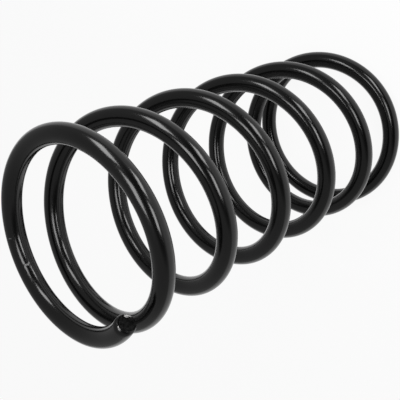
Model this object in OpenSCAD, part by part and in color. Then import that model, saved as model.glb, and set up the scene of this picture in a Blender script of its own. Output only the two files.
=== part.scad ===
// Suspension coil spring: one round wire wound right-handed, with a closed, unground end at each side.
// It stands upright. The origin is on the coil's axis, level with the lowest point of the bottom turn,
// and the lower cut end lies on +X.

/* [Wire] */
// Diameter of the round wire
wire_d = 14; // [10:0.5:18]

/* [Coil] */
// Diameter of the coil, measured to the middle of the wire
mean_d = 132; // [105:1:165]
// Turns from one cut end of the wire to the other
turns = 6.57; // [5.2:0.01:8.5]
// Rise of one turn in the open middle of the coil
active_pitch = 63.5; // [45:0.5:80]

/* [Lower end] */
// Turns that lie in the lower seat
lower_seat_turns = 0.73; // [0.55:0.01:0.85]
// Turns over which the wire leaves the lower seat
lower_blend_turns = 0.12; // [0.06:0.01:0.15]
// Clear height between the lower cut end and the turn above it
lower_tip_gap = 4; // [2:0.5:8]
// Rise of one turn just above the lower seat
lower_lead_pitch = 53; // [42:0.5:60]
// Turns over which that rise grows to the one in the middle
lower_lead_turns = 1.5; // [0.5:0.1:2]

/* [Upper end] */
// Turns from the upper cut end to the level place of the upper seat
upper_seat_turns = 0.55; // [0.4:0.01:0.65]
// Turns over which the wire leaves the upper seat
upper_blend_turns = 0.57; // [0.5:0.01:0.8]
// Clear height between the upper cut end and the turn below it
upper_tip_gap = 8; // [4:0.5:12]

/* [Cut ends] */
// How far the shear pushed the upper cut end in towards the axis
upper_tip_inset = 2.2; // [0:0.1:4]
// Turns over which the wire bends in to that end
upper_bent_turns = 0.13; // [0.08:0.01:0.25]
// Depth of the rolled edge, on the side where the shear pressed into the wire
rollover_depth = 2.1; // [0.8:0.1:3]
// Length of that edge along the wire
rollover_length = 4; // [1.5:0.1:6]
// Radius of the edge on the other side
edge_r = 0.5; // [0.3:0.1:0.8]
// Side of the upper end that was pressed, in degrees from outwards towards up
upper_pressed = 85; // [60:5:130]

/* [Smoothness] */
// Facets round the wire, a multiple of four so that one row lies at the very bottom
wire_facets = 20; // [12:4:24]
// Steps along the wire in one turn, a multiple of four so that they meet the coil's four sides
steps_per_turn = 36; // [24:4:44]

/* [Hidden] */

wire_r = wire_d / 2;
mean_r = mean_d / 2;
paint = [0.05, 0.05, 0.055];

// Pitch law of the lower end, as pairs of turns from its cut end and rise per turn
lower_lead_start = lower_seat_turns + lower_blend_turns;
lower_open_start = lower_lead_start + lower_lead_turns;
function lower_law(seat_pitch) = [
    [0, seat_pitch],
    [lower_seat_turns, seat_pitch],
    [lower_lead_start, lower_lead_pitch],
    [lower_open_start, active_pitch]
];

// Pitch law of the upper end, counted down from its own cut end
upper_open_start = upper_seat_turns + upper_blend_turns;
function upper_law(tip_pitch) = [
    [0, tip_pitch],
    [upper_seat_turns, 0],
    [upper_open_start, active_pitch]
];

// Height gained after so many turns of a law, which is straight between its pairs
function total(values) = values * [for (value = values) 1];
function piece_rise(from, to, at) =
    let (
        width = to[0] - from[0],
        along = min(max(at - from[0], 0), width)
    )
    along * (from[1] + (to[1] - from[1]) * along / (2 * width));
function rise(law, at) = total([for (i = [1 : len(law) - 1]) piece_rise(law[i - 1], law[i], at)]);

// The pitch at each cut end leaves the wanted gap to the turn that lies one turn further in
lower_seat_pitch =
    (wire_d + lower_tip_gap - rise(lower_law(0), 1)) / (lower_seat_turns + lower_blend_turns / 2);
upper_tip_pitch = (wire_d + upper_tip_gap - rise(upper_law(0), 1)) / (upper_seat_turns / 2);

// Pitch law of the whole wire, counted up from the lower cut end
law = concat(
    lower_law(lower_seat_pitch),
    [
        [turns - upper_open_start, active_pitch],
        [turns - upper_seat_turns, 0],
        [turns, upper_tip_pitch]
    ]
);

// Radius of the coil and its change per turn: constant, but for the bend in to the upper cut end
function bend_share(at) = max(0, 1 - (turns - at) / upper_bent_turns);
function coil_r(at) = mean_r - upper_tip_inset * pow(bend_share(at), 2);
function coil_r_slope(at) = -2 * upper_tip_inset * bend_share(at) / upper_bent_turns;

// The wire's middle line
function radial(at) = [cos(360 * at), sin(360 * at), 0];
function sideways(at) = [-sin(360 * at), cos(360 * at), 0];
function middle(at) = coil_r(at) * radial(at) + [0, 0, wire_r + rise(law, at)];

// Directions at a place on it: along the wire, across it upwards, and across it away from the axis
function unit(v) = v / norm(v);
function forward(at) =
    unit(coil_r_slope(at) * radial(at) + 2 * PI * coil_r(at) * sideways(at) + [0, 0, lookup(at, law)]);
function upward(at) = unit(cross(radial(at), forward(at)));
function outward(at) = cross(forward(at), upward(at));

// A point off the middle line, in a direction round the wire that starts outwards and turns upwards
function wire_point(at, distance, around) =
    middle(at) + distance * (cos(around) * outward(at) + sin(around) * upward(at));

// A measure of a cut end's edge round the wire: edge_r on the plain side and most on the pressed one
function edge_measure(most, around, pressed) =
    edge_r + (most - edge_r) * (1 + cos(around - pressed)) / 2;

// One ring of a cut end's rolled edge: bend is 0 on the cut face and 90 on the wire's side
function edge_ring(tip, inward, pressed, bend) = [
    for (k = [0 : wire_facets - 1])
        let (
            around = 360 * k / wire_facets,
            depth = edge_measure(rollover_depth, around, pressed),
            length = edge_measure(rollover_length, around, pressed)
        )
        wire_point(
            tip + inward * length * (1 - cos(bend)) / (PI * mean_d),
            wire_r - depth * (1 - sin(bend)),
            around
        )
];
function plain_ring(at) = [
    for (k = [0 : wire_facets - 1]) wire_point(at, wire_r, 360 * k / wire_facets)
];

// The lower end is the other side of the same kind of cut, so it was pressed on the opposite side
lower_pressed = upper_pressed + 180;
bends = [0, 30, 60, 90];

// The plain rings stay this many turns clear of the cut ends, a little more than the rolled edges need
rollover_room = 1.4;
end_turns = rollover_room * rollover_length / (PI * mean_d);

module coil() {
    first_step = ceil(end_turns * steps_per_turn);
    last_step = floor((turns - end_turns) * steps_per_turn);
    rings = concat(
        [for (bend = bends) edge_ring(0, 1, lower_pressed, bend)],
        [for (i = [first_step : last_step]) plain_ring(i / steps_per_turn)],
        [for (i = [1 : len(bends)]) edge_ring(turns, -1, upper_pressed, bends[len(bends) - i])]
    );
    last = len(rings) - 1;
    sides = [
        for (i = [0 : last - 1], k = [0 : wire_facets - 1])
            let (
                here = i * wire_facets,
                next = here + wire_facets,
                k2 = (k + 1) % wire_facets
            )
            each [[here + k, here + k2, next + k2], [here + k, next + k2, next + k]]
    ];
    lower_face = [for (k = [1 : wire_facets]) wire_facets - k];
    upper_face = [for (k = [0 : wire_facets - 1]) last * wire_facets + k];
    color(paint)
        polyhedron(
            points = [for (ring = rings) each ring],
            faces = concat([lower_face], sides, [upper_face]),
            convexity = 10
        );
}

coil();
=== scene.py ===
"""The suspension spring, dressed: a fine sweep of its painted wire with torn ends, on a studio floor."""
from collections import namedtuple
from math import ceil, cos, exp, pi, radians, sin

import bpy
from mathutils import Matrix, Quaternion, Vector, noise


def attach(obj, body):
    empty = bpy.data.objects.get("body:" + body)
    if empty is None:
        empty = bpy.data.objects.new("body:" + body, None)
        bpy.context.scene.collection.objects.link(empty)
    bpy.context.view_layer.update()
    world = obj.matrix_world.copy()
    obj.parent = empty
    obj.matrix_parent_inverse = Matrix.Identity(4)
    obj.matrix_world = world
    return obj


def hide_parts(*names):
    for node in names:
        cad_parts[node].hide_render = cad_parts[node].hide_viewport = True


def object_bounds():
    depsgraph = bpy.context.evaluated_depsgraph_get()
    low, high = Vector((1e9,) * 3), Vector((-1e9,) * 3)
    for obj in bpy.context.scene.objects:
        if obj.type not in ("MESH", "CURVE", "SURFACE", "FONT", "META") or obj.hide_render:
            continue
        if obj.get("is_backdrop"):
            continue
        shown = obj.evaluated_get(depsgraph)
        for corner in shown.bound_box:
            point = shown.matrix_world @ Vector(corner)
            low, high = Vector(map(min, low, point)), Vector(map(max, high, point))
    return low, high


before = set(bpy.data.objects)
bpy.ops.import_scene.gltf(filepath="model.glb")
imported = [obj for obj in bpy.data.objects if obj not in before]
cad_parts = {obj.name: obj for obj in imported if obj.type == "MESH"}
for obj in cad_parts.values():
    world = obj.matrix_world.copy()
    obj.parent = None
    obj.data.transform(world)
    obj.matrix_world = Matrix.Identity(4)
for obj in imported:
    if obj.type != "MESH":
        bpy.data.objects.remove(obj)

cad_low, cad_high = (list(corner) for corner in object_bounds())
MM = 0.001


# The wire and the coil, in millimetres and turns, as the CAD part has them
wire_d = 14
mean_d = 132
turns = 6.57
active_pitch = 63.5

lower_seat_turns = 0.73
lower_blend_turns = 0.12
lower_tip_gap = 4
lower_lead_pitch = 53
lower_lead_turns = 1.5

upper_seat_turns = 0.55
upper_blend_turns = 0.57
upper_tip_gap = 8
upper_tip_inset = 2.2
upper_bent_turns = 0.13

rollover_depth = 2.1
rollover_length = 4
edge_r = 0.5
upper_pressed = 85

# Fineness of the visible wire
wire_sides = 96
rings_per_turn = 136
edge_rings = 8
face_rings = 24

wire_r = wire_d / 2
mean_r = mean_d / 2
around_coil = pi * mean_d


def gain(start, end, at):
    """Height gained on the stretch from start to end, each (turn, pitch), by the turn at."""
    width = end[0] - start[0]
    along = min(max(at - start[0], 0), width)
    return along * (start[1] + (end[1] - start[1]) * along / (2 * width))


def rise(law, at):
    return sum(gain(start, end, at) for start, end in zip(law, law[1:]))


def pitch(law, at):
    for start, end in zip(law, law[1:]):
        if at <= end[0]:
            share = (at - start[0]) / (end[0] - start[0])
            return start[1] + (end[1] - start[1]) * share
    return law[-1][1]


def lower_law(seat_pitch):
    lead_start = lower_seat_turns + lower_blend_turns
    return [
        (0, seat_pitch),
        (lower_seat_turns, seat_pitch),
        (lead_start, lower_lead_pitch),
        (lead_start + lower_lead_turns, active_pitch),
    ]


def upper_law(tip_pitch):
    """Pitch law of the upper end, counted down from its own cut end."""
    return [(0, tip_pitch), (upper_seat_turns, 0), (upper_seat_turns + upper_blend_turns, active_pitch)]


def whole_law():
    """Pitch law of the whole wire. The pitch at each cut end leaves its gap to the turn beside it."""
    lower_gain = wire_d + lower_tip_gap - rise(lower_law(0), 1)
    upper_gain = wire_d + upper_tip_gap - rise(upper_law(0), 1)
    seat_pitch = lower_gain / (lower_seat_turns + lower_blend_turns / 2)
    tip_pitch = upper_gain / (upper_seat_turns / 2)
    from_top = [(turns - turn, value) for turn, value in reversed(upper_law(tip_pitch))]
    return lower_law(seat_pitch) + from_top


LAW = whole_law()


class Station:
    """A place on the wire's middle line, with the directions along and across the wire there."""

    def __init__(self, at):
        self.at = at
        angle = 2 * pi * at
        radial = Vector((cos(angle), sin(angle), 0))
        sideways = Vector((-sin(angle), cos(angle), 0))
        bend = max(0, 1 - (turns - at) / upper_bent_turns)
        coil_r = mean_r - upper_tip_inset * bend**2
        slope = -2 * upper_tip_inset * bend / upper_bent_turns
        climb = Vector((0, 0, pitch(LAW, at)))
        self.middle = coil_r * radial + Vector((0, 0, wire_r + rise(LAW, at)))
        self.forward = (slope * radial + 2 * pi * coil_r * sideways + climb).normalized()
        self.upward = radial.cross(self.forward).normalized()
        self.outward = self.forward.cross(self.upward)

    def vertex(self, distance, around, ahead=0.0, **shares):
        """A point off the middle line, its place on the straightened wire, and the material's shares there.

        around is in degrees, from outwards towards up.
        """
        out, up = distance * cos(radians(around)), distance * sin(radians(around))
        place = self.middle + out * self.outward + up * self.upward + ahead * self.forward
        straight = Vector((out, up, self.at * around_coil + ahead))
        return place * MM, straight * MM, shares


def angles():
    return [360 * k / wire_sides for k in range(wire_sides)]


def off(angle, other):
    """Degrees from one angle to another, from -180 to 180."""
    return (angle - other + 180) % 360 - 180


def held(value, low=0.0, high=1.0):
    return min(max(value, low), high)


# A patch of a cut face: the angle of its middle in degrees, then in millimetres its middle's radius, half
# its length round the face and half its width across
Patch = namedtuple("Patch", "around radius half_round half_across")


def inside_any(patches, around, radius):
    """How far a place on a cut face is inside a patch: 1 in its middle, 0.5 on its border, less beyond."""
    best = 0.0
    for patch in patches:
        aside = patch.radius * radians(off(around, patch.around)) / patch.half_round
        across = (radius - patch.radius) / patch.half_across
        best = max(best, 1 - 0.5 * (aside * aside + across * across))
    return best


# The rolled edge meets the torn face at this angle, in degrees
corner_bend = 30

# The torn zone, in millimetres: how far past the rim it reaches at a sharp edge, how far it draws in from
# there at a rolled one, the width of its border, and how deep it lies
torn_past_rim = 0.3
torn_draws_in = 2.3
torn_border = 0.6
torn_sunk = 0.5

# How soon the zone draws in as the edge gets more rolled, and how far it and the chips run out onto the
# edge: factors on shares that are then held at 1
drawing_in = 1.25
torn_onto_edge = 2.2
bare_onto_edge = 1.5

# The torn face's coarse and fine relief: height in millimetres, bumps to a millimetre, and the increment,
# lacunarity and octaves of its fractal
coarse_height = 0.42
coarse_bumps = 0.42
coarse_fractal = (0.9, 2.0, 2)
fine_height = 0.17
fine_bumps = 1.6
fine_fractal = (0.8, 2.1, 3)

# How high the fine relief stands in a chip, and how deep the chips and the pits lie, in millimetres
chip_height = 0.1
chip_sunk = 0.15
pit_depth = 0.9

# The relief runs out to nothing over the last of this many parts of the face's radius
radius_parts = 12


class CutEnd:
    """A sheared end of the wire: an edge rolled over on the side that the shear pressed, and the torn face.

    The chips are patches of the face that show bare steel, and the pits are patches that are torn deeper.
    """

    def __init__(self, tip, inward, pressed, chips=(), pits=()):
        self.tip = tip
        self.inward = inward
        self.pressed = pressed
        self.chips = chips
        self.pits = pits

    def share(self, around):
        """How much of the pressed side's rolled edge there is at an angle, from 0 to 1."""
        return (1 + cos(radians(around - self.pressed))) / 2

    def edge_depth(self, around):
        return edge_r + (rollover_depth - edge_r) * self.share(around)

    def edge_length(self, around):
        return edge_r + (rollover_length - edge_r) * self.share(around)

    def torn_share(self, around, radius):
        """1 inside the torn zone and 0 outside it. The less the edge is rolled, the wider the zone is."""
        border = wire_r + torn_past_rim - torn_draws_in * min(1, drawing_in * self.share(around))
        return held((border - radius) / torn_border + 0.5)

    def height(self, around, radius):
        """Height of the torn face over its plane, in millimetres."""
        place = Vector((radius * cos(radians(around)), radius * sin(radians(around)), self.pressed))
        coarse = noise.fractal(place * coarse_bumps, *coarse_fractal)
        fine = noise.fractal(place * fine_bumps, *fine_fractal)
        rough = coarse_height * coarse + fine_height * fine - torn_sunk
        chipped = held(2 * inside_any(self.chips, around, radius))
        pitted = inside_any(self.pits, around, radius)
        return rough + (chip_height * fine - chip_sunk - rough) * chipped - pit_depth * pitted

    def edge_ring(self, bend):
        """One ring of the rolled edge. bend is 90 on the wire's side, and corner_bend at the torn face."""
        ring = []
        facing = cos(radians(bend)) / cos(radians(corner_bend))
        rolled = (1 - sin(radians(bend))) / (1 - sin(radians(corner_bend)))
        for around in angles():
            distance = wire_r - self.edge_depth(around) * rolled
            along = self.inward * self.edge_length(around) * (1 - facing) / around_coil
            station = Station(self.tip + along)
            torn = self.torn_share(around, distance) * held(torn_onto_edge * facing)
            bare = inside_any(self.chips, around, distance) * held(bare_onto_edge * facing)
            ring.append(station.vertex(distance, around, torn=torn, bare=bare))
        return ring

    def face_ring(self, share):
        """One ring of the torn face, at a share of its radius. Its relief runs out towards the rim."""
        station = Station(self.tip)
        ring = []
        for around in angles():
            distance = share * (wire_r - self.edge_depth(around))
            ahead = -self.inward * self.height(around, distance) * held((1 - share) * radius_parts)
            torn = self.torn_share(around, distance)
            bare = inside_any(self.chips, around, distance)
            ring.append(station.vertex(distance, around, ahead, torn=torn, bare=bare))
        return ring

    def rings(self):
        """Every ring from the middle of the face out to the wire's side."""
        bends = [corner_bend + (90 - corner_bend) * i / edge_rings for i in range(edge_rings + 1)]
        faces = [self.face_ring((i + 0.5) / face_rings) for i in range(face_rings)]
        return faces + [self.edge_ring(bend) for bend in bends]


upper_chips = (
    Patch(225, 5.75, 1.5, 1.2),
    Patch(243, 6.55, 1.3, 0.6),
    Patch(100, 5.2, 0.45, 0.5),
)
upper_pits = (
    Patch(207, 5.8, 0.45, 1.3),
    Patch(184, 6.0, 0.4, 0.9),
    Patch(128, 4.7, 2.4, 0.5),
)
LOWER_END = CutEnd(0, 1, upper_pressed + 180)
UPPER_END = CutEnd(turns, -1, upper_pressed, upper_chips, upper_pits)


# A scuff across the wire: its place in turns and in degrees round the wire, half its width along the wire
# and half its length round it in millimetres, and its strength
Scuff = namedtuple("Scuff", "at around half_width half_length strength")
SCUFFS = (
    Scuff(6.2722, 156, 0.8, 2.2, 1.0),
    Scuff(6.2198, 107, 0.6, 1.7, 0.6),
)

# The low ridge of paint that a full scuff pushed up, in millimetres
scuff_height = 0.14

# The close rings over a scuff: how many there are to each side of its middle, how many of its half widths
# they reach, and how much further off the plain rings start
scuff_rings = 8
scuff_reach = 2.4
scuff_room = 1.1

# The plain rings start this many lengths of the rolled edge from the cut ends
end_room = 1.2


def scuff_share(at, around):
    shares = []
    for scuff in SCUFFS:
        along = (at - scuff.at) * around_coil / scuff.half_width
        round_it = wire_r * radians(off(around, scuff.around)) / scuff.half_length
        shares.append(scuff.strength * exp(-along * along - round_it**4))
    return max(shares)


def side_ring(at):
    station = Station(at)
    ring = []
    for around in angles():
        share = scuff_share(at, around)
        ring.append(station.vertex(wire_r + scuff_height * share, around, scuff=share))
    return ring


def side_places():
    """Turns of the plain rings between the two ends, closer together over the scuffs."""
    start = end_room * rollover_length / around_coil
    steps = ceil((turns - 2 * start) * rings_per_turn)
    places = [start + (turns - 2 * start) * i / steps for i in range(steps + 1)]
    for scuff in SCUFFS:
        reach = scuff_reach * scuff.half_width / around_coil
        close = [scuff.at + reach * i / scuff_rings for i in range(-scuff_rings, scuff_rings + 1)]
        places = [at for at in places if abs(at - scuff.at) > scuff_room * reach] + close
    return sorted(places)


def wire_faces(ring_count):
    """Four-sided faces between the rings, and one face that closes each end."""
    faces = []
    for i in range(ring_count - 1):
        here, there = i * wire_sides, (i + 1) * wire_sides
        for k in range(wire_sides):
            after = (k + 1) % wire_sides
            faces.append((here + k, there + k, there + after, here + after))
    last = (ring_count - 1) * wire_sides
    faces.append(tuple(range(wire_sides)))
    faces.append(tuple(reversed(range(last, last + wire_sides))))
    return faces


def make_coil(material):
    upper_rings = list(reversed(UPPER_END.rings()))
    rings = LOWER_END.rings() + [side_ring(at) for at in side_places()] + upper_rings
    vertices = [vertex for ring in rings for vertex in ring]
    faces = wire_faces(len(rings))
    # This finer wire bulges a few hundredths of a millimetre past the CAD's facets, so it is held in the
    # CAD's box
    places = [[held(*limits) for limits in zip(vertex[0], cad_low, cad_high)] for vertex in vertices]
    mesh = bpy.data.meshes.new("coil_wire")
    mesh.from_pydata(places, [], faces)
    straight = mesh.attributes.new("straight_wire", "FLOAT_VECTOR", "POINT")
    straight.data.foreach_set("vector", [number for vertex in vertices for number in vertex[1]])
    for name in ("torn", "bare", "scuff"):
        shares = mesh.attributes.new(name, "FLOAT", "POINT")
        shares.data.foreach_set("value", [vertex[2].get(name, 0.0) for vertex in vertices])
    mesh.materials.append(material)
    mesh.polygons.foreach_set("use_smooth", [True] * len(faces))
    corners = (face_rings, len(rings) - 1 - face_rings)
    for edge in mesh.edges:
        first, second = (number // wire_sides for number in edge.vertices)
        edge.use_edge_sharp = first == second and first in corners
    mesh.update()
    coil = bpy.data.objects.new("coil_wire", mesh)
    bpy.context.scene.collection.objects.link(coil)
    return coil


class Nodes:
    """A material's or world's node tree, with short ways to add nodes and links."""

    def __init__(self, owner):
        owner.use_nodes = True
        self.tree = owner.node_tree
        self.tree.nodes.clear()

    def add(self, kind, settings=(), **inputs):
        node = self.tree.nodes.new(kind)
        for name, value in dict(settings).items():
            setattr(node, name, value)
        for name, value in inputs.items():
            self.put(node.inputs[name.replace("_", " ")], value)
        return node

    def put(self, socket, value):
        """Links an output to the socket, or sets the socket to a value."""
        if isinstance(value, bpy.types.NodeSocket):
            self.tree.links.new(value, socket)
        else:
            socket.default_value = value

    def combine(self, kind, operation, first, second):
        """A node that works on two inputs by an operation."""
        node = self.add(kind, {"operation": operation})
        self.put(node.inputs[0], first)
        self.put(node.inputs[1], second)
        return node

    def math(self, operation, first, second):
        return self.combine("ShaderNodeMath", operation, first, second).outputs["Value"]

    def measure(self, operation, first, second):
        """The number that a vector operation gives for two vectors."""
        return self.combine("ShaderNodeVectorMath", operation, first, second).outputs["Value"]

    def stretched(self, place, along):
        """Places on the straightened wire, squeezed along it so that patterns on them are drawn out."""
        return self.combine("ShaderNodeVectorMath", "MULTIPLY", place, (1, 1, along)).outputs["Vector"]

    def attribute(self, name, output="Fac"):
        return self.add("ShaderNodeAttribute", {"attribute_name": name}).outputs[output]

    def noise(self, place, scale, detail=2.0):
        return self.add("ShaderNodeTexNoise", Vector=place, Scale=scale, Detail=detail).outputs["Fac"]

    def ramp(self, value, span, low, high, ease="LINEAR"):
        """A number that goes from low to high while value crosses the span, and stays there."""
        node = self.add(
            "ShaderNodeMapRange",
            {"interpolation_type": ease},
            Value=value,
            From_Min=span[0],
            From_Max=span[1],
            To_Min=low,
            To_Max=high,
        )
        return node.outputs["Result"]

    def mixed(self, data_type, kind, share, first, second):
        node = self.add("ShaderNodeMix", {"data_type": data_type})
        first_socket, second_socket = [socket for socket in node.inputs if socket.type == kind][-2:]
        self.put(node.inputs[0], share)
        self.put(first_socket, first)
        self.put(second_socket, second)
        return next(socket for socket in node.outputs if socket.type == kind)

    def mix(self, share, first, second):
        """A number from first to second, by share."""
        return self.mixed("FLOAT", "VALUE", share, first, second)

    def blend(self, share, first, second):
        """A colour from first to second, by share."""
        return self.mixed("RGBA", "RGBA", share, first, second)


def grey(level):
    return level, level, level, 1


# Colours of the paint, of paint rubbed by a scuff, of the darker and lighter spots of torn steel, and of
# bare steel
paint_colour = grey(0.0015)
rubbed_colour = grey(0.16)
torn_dark = grey(0.001)
torn_light = grey(0.009)
bare_colour = (0.26, 0.257, 0.253, 1)

# Roughness of each, where the paint's own varies between two values
paint_roughness = (0.15, 0.19)
rubbed_roughness = 0.4
torn_roughness = 0.75
bare_roughness = 0.42

# Index of refraction, and the specular level of the paint and of torn steel
paint_ior = 1.45
paint_specular = 0.5
torn_specular = 0.08

# Patterns, as spots to a metre: the lines of drawn wire and long waves, each with the factor that squeezes
# its places along the wire, then patches of gloss, the coat's orange peel, and torn steel's spots and grain
drawn_scale = 520.0
drawn_stretch = 0.06
wavy_scale = 130.0
wavy_stretch = 0.25
patch_scale = 45.0
peel_scale = 520.0
mottle_scale = 420.0
grain_scale = 1100.0

# Relief of each pattern, in millimetres
drawn_relief = 0.0005
wavy_relief = 0.015
peel_relief = 0.0005
torn_relief = 0.25
bare_relief = 0.05

# The values of a pattern or of a share over which its effect sets in
patch_span = (0.3, 0.7)
mottle_span = (0.42, 0.68)
torn_span = (0.4, 0.6)
bare_span = (0.46, 0.56)
rubbed_span = (0.25, 0.9)
scratch_span = (0.3, 0.6)

# How far the grain frays the borders of the torn and bare parts, the factors by which it thins and
# thickens a scuff, and how far a full scuff hides the paint
fray = 0.22
scratch_thin = 0.5
scratch_thick = 1.2
rubbed_most = 0.8


def wire_material():
    """Gloss black coat over drawn wire, dull where the ends are torn, with bare steel in the chips."""
    material = bpy.data.materials.new("painted_wire")
    nodes = Nodes(material)
    place = nodes.attribute("straight_wire", "Vector")
    drawn = nodes.noise(nodes.stretched(place, drawn_stretch), drawn_scale)
    wavy = nodes.noise(nodes.stretched(place, wavy_stretch), wavy_scale, detail=1.0)
    patchy = nodes.noise(place, patch_scale, detail=3.0)
    peel = nodes.noise(place, peel_scale)
    mottle = nodes.noise(place, mottle_scale, detail=3.0)
    grain = nodes.noise(place, grain_scale, detail=3.0)

    frayed = nodes.ramp(grain, (0, 1), -fray, fray)
    torn = nodes.ramp(nodes.math("ADD", nodes.attribute("torn"), frayed), torn_span, 0, 1)
    bare = nodes.ramp(nodes.math("ADD", nodes.attribute("bare"), frayed), bare_span, 0, 1)
    scratched = nodes.ramp(grain, scratch_span, scratch_thin, scratch_thick)
    scuffed = nodes.math("MULTIPLY", nodes.attribute("scuff"), scratched)
    rubbed = nodes.ramp(scuffed, rubbed_span, 0, rubbed_most)

    colour = nodes.blend(rubbed, paint_colour, rubbed_colour)
    broken = nodes.blend(nodes.ramp(mottle, mottle_span, 0, 1), torn_dark, torn_light)
    colour = nodes.blend(torn, colour, broken)
    colour = nodes.blend(bare, colour, bare_colour)
    roughness = nodes.mix(rubbed, nodes.ramp(patchy, patch_span, *paint_roughness), rubbed_roughness)
    roughness = nodes.mix(torn, roughness, torn_roughness)
    roughness = nodes.mix(bare, roughness, bare_roughness)

    relief = nodes.math("MULTIPLY", drawn, drawn_relief)
    relief = nodes.math("ADD", relief, nodes.math("MULTIPLY", wavy, wavy_relief))
    relief = nodes.math("ADD", relief, nodes.math("MULTIPLY", peel, peel_relief))
    grain_relief = nodes.mix(bare, nodes.mix(torn, 0.0, torn_relief), bare_relief)
    relief = nodes.math("ADD", relief, nodes.math("MULTIPLY", grain, grain_relief))
    bump = nodes.add("ShaderNodeBump", Strength=1.0, Distance=MM, Height=relief)
    shader = nodes.add(
        "ShaderNodeBsdfPrincipled",
        Base_Color=colour,
        Metallic=bare,
        Roughness=roughness,
        IOR=paint_ior,
        Specular_IOR_Level=nodes.mix(torn, paint_specular, torn_specular),
        Normal=bump.outputs["Normal"],
    )
    nodes.add("ShaderNodeOutputMaterial", Surface=shader.outputs["BSDF"])
    return material


# The floor, in metres: half its side, the middle of a painted pool of white light on it round the spring,
# and how far from there that painted light starts and ends to fall off. Then the share of plain white near
# and far, and the floor's own colour.
floor_reach = 15.0
painted_light_pool_middle = (-0.09, 0.37, 0.0)
painted_light_pool_span = (0.5, 6.0)
white_near = 0.92
white_far = 0.12
floor_colour = grey(0.9)


def make_floor():
    """A wide floor that takes the shadow. The camera and reflections see it white in a painted pool of
    light round the spring, and greyer far away.
    """
    material = bpy.data.materials.new("floor_white")
    nodes = Nodes(material)
    rays = nodes.add("ShaderNodeLightPath").outputs
    seen = nodes.math("MAXIMUM", rays["Is Camera Ray"], rays["Is Glossy Ray"])
    seen = nodes.math("MAXIMUM", seen, rays["Is Transmission Ray"])
    away = nodes.measure("DISTANCE", nodes.add("ShaderNodeTexCoord").outputs["Object"], painted_light_pool_middle)
    # Painted light: the floor glows white to the camera and in reflections near the spring, and the glow
    # fades with distance, a painted pool of light
    share = nodes.math("MULTIPLY", seen, nodes.ramp(away, painted_light_pool_span, white_near, white_far, "SMOOTHSTEP"))
    matt = nodes.add("ShaderNodeBsdfDiffuse", Color=floor_colour)
    white = nodes.add("ShaderNodeEmission", Color=grey(1), Strength=1.0)
    mix = nodes.add("ShaderNodeMixShader", Fac=share)
    nodes.put(mix.inputs[1], matt.outputs["BSDF"])
    nodes.put(mix.inputs[2], white.outputs["Emission"])
    nodes.add("ShaderNodeOutputMaterial", Surface=mix.outputs["Shader"])
    corners = [(x * floor_reach, y * floor_reach, 0) for x, y in ((-1, -1), (1, -1), (1, 1), (-1, 1))]
    mesh = bpy.data.meshes.new("floor")
    mesh.from_pydata(corners, [], [(0, 1, 2, 3)])
    mesh.materials.append(material)
    floor = bpy.data.objects.new("floor", mesh)
    bpy.context.scene.collection.objects.link(floor)
    floor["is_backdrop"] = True


# The studio round the floor: its grey, and a darker part behind the softboxes that ends short of the
# horizon. The dark part has a middle and sets in over two spans: of the cosine of the angle from that
# middle, and of the sine of the elevation.
studio_grey = 0.36
studio_dark = 0.06
dark_middle = (-0.1, -0.96, 0.26)
dark_span = (0.5, 0.85)
dark_low_span = (0.02, 0.2)


def make_world():
    world = bpy.data.worlds.new("studio")
    bpy.context.scene.world = world
    nodes = Nodes(world)
    towards = nodes.add("ShaderNodeTexCoord").outputs["Generated"]
    near_middle = nodes.measure("DOT_PRODUCT", towards, dark_middle)
    height = nodes.measure("DOT_PRODUCT", towards, (0, 0, 1))
    around = nodes.ramp(near_middle, dark_span, 0, 1, "SMOOTHSTEP")
    above = nodes.ramp(height, dark_low_span, 0, 1, "SMOOTHSTEP")
    level = nodes.mix(nodes.math("MULTIPLY", around, above), studio_grey, studio_dark)
    back = nodes.add("ShaderNodeBackground", Color=grey(1), Strength=level)
    nodes.add("ShaderNodeOutputWorld", Surface=back.outputs["Background"])


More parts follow.
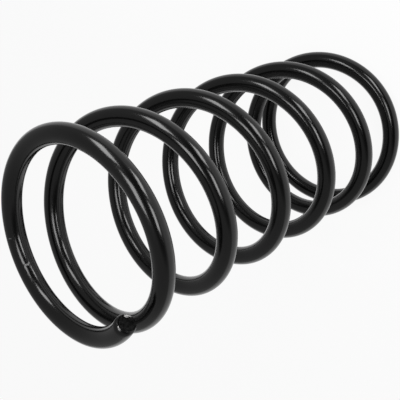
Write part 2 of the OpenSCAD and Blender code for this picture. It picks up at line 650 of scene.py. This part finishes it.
# A softbox is a rectangle that faces the middle of the spring. Where it hangs is given by azimuth and
# elevation in degrees and by distance in millimetres, then its long and short side in millimetres, the
# tilt of its long side from level in degrees, and its radiance.
Softbox = namedtuple("Softbox", "azimuth elevation distance long_side short_side tilt radiance")
SOFTBOXES = {
    "softbox_top": Softbox(-75, 71, 410, 150, 96, 136, 8.2),
    "softbox_right": Softbox(-27.3, 45, 405, 180, 96, 119, 9.5),
    "softbox_left": Softbox(-100.3, 29, 490, 186, 108, 164, 9.9),
    "softbox_low": Softbox(-68.3, 10.5, 450, 200, 104, 139, 9.6),
}
softbox_aim = Vector((0, 0, 170))


def make_softbox(name, box):
    azimuth, elevation, tilt = radians(box.azimuth), radians(box.elevation), radians(box.tilt)
    level = cos(elevation)
    away = Vector((level * cos(azimuth), level * sin(azimuth), sin(elevation)))
    across = Vector((0, 0, 1)).cross(away).normalized()
    along = cos(tilt) * across + sin(tilt) * away.cross(across)
    light = bpy.data.lights.new(name, "AREA")
    light.shape = "RECTANGLE"
    light.size = box.long_side * MM
    light.size_y = box.short_side * MM
    light.energy = box.radiance * pi * light.size * light.size_y
    lamp = bpy.data.objects.new(name, light)
    turn = Matrix((along, away.cross(along), away)).transposed()
    lamp.matrix_world = Matrix.Translation((softbox_aim + box.distance * away) * MM) @ turn.to_4x4()
    lamp.visible_camera = False
    bpy.context.scene.collection.objects.link(lamp)


# The camera, in millimetres: where it stands and what lies in the middle of its picture. Then its roll in
# degrees, its picture's width and focal length in pixels, and its sensor's width in millimetres.
camera_from = Vector((25.83, -367.15, 585.39))
camera_at = Vector((-11.41, -1.16, 205.86))
camera_roll = -114.67
picture_width = 400
focal_pixels = 710.8
sensor_width = 36


def make_camera():
    data = bpy.data.cameras.new("camera")
    data.sensor_width = sensor_width
    data.lens = sensor_width * focal_pixels / picture_width
    camera = bpy.data.objects.new("camera", data)
    camera.location = camera_from * MM
    camera.rotation_mode = "QUATERNION"
    aim = (camera_at - camera_from).to_track_quat("-Z", "Y")
    camera.rotation_quaternion = aim @ Quaternion((0, 0, 1), radians(camera_roll))
    bpy.context.scene.collection.objects.link(camera)
    bpy.context.scene.camera = camera


make_camera()
make_world()
make_floor()
for softbox_name, softbox in SOFTBOXES.items():
    make_softbox(softbox_name, softbox)

coil = make_coil(wire_material())
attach(coil, "root")
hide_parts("coil")

bpy.context.scene.view_settings.view_transform = "Standard"
